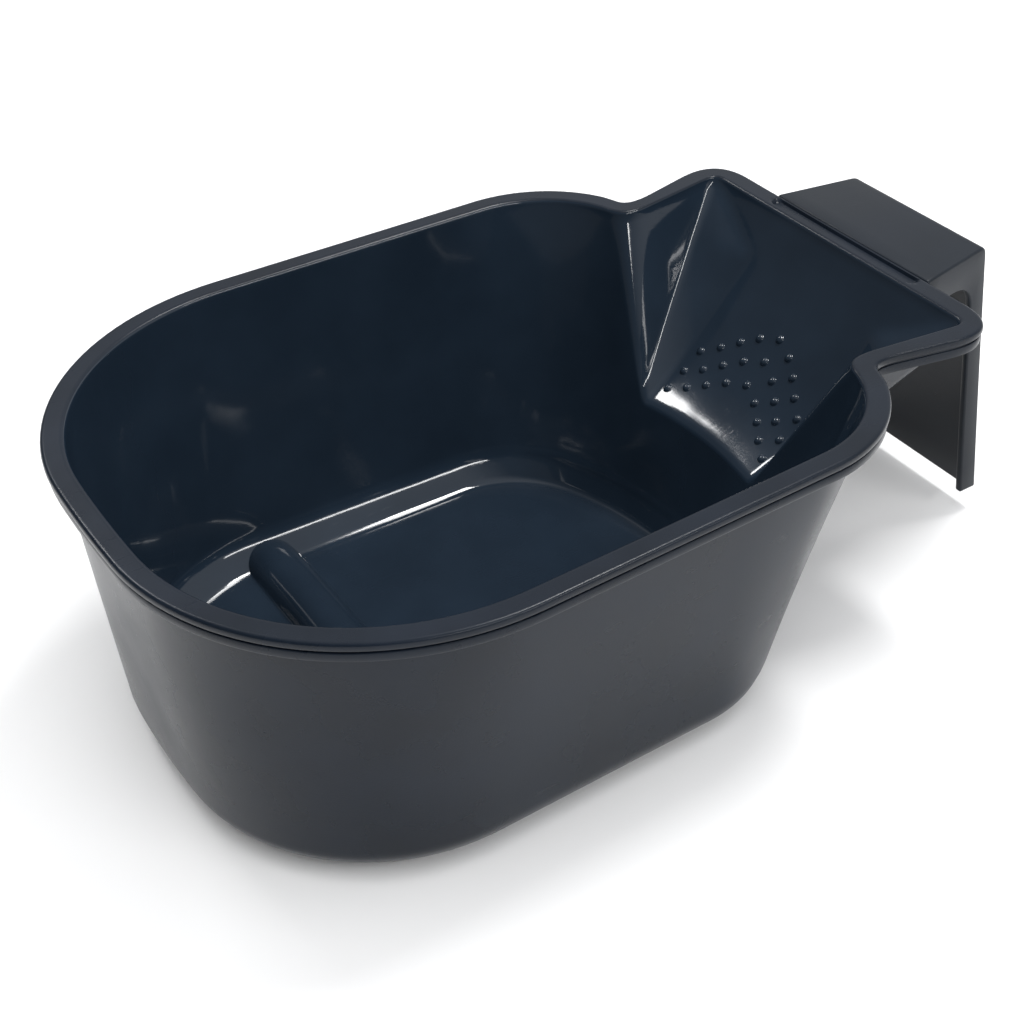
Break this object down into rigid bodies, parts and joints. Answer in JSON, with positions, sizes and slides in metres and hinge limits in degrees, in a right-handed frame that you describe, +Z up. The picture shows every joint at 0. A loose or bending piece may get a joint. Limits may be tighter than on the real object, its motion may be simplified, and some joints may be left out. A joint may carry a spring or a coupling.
{
  "type": "hair colour mixing bowl",
  "caption": "Oblong hair colour bowl with a flared spout end, a pip-covered wiping ramp, a floor ridge, a rolled rim, a rail hook and a non-slip base ring.",
  "frame": {"origin": "middle of the whole outline seen from above, on the plane the bowl rests on", "axes": "+X towards the spout end and the hook, +Y to the left when looking along +X, +Z up"},
  "size_m": [0.2, 0.1304, 0.068],
  "materials": {
    "shell_plastic": "gloss inside, satin outside",
    "hook_plastic": "satin",
    "foot_rubber": "matte"
  },
  "bodies": {
    "root": {"bowl_shell": "shell_plastic", "rail_hook": "hook_plastic", "non_slip_foot_ring": "foot_rubber"}
  },
  "joints": []
}
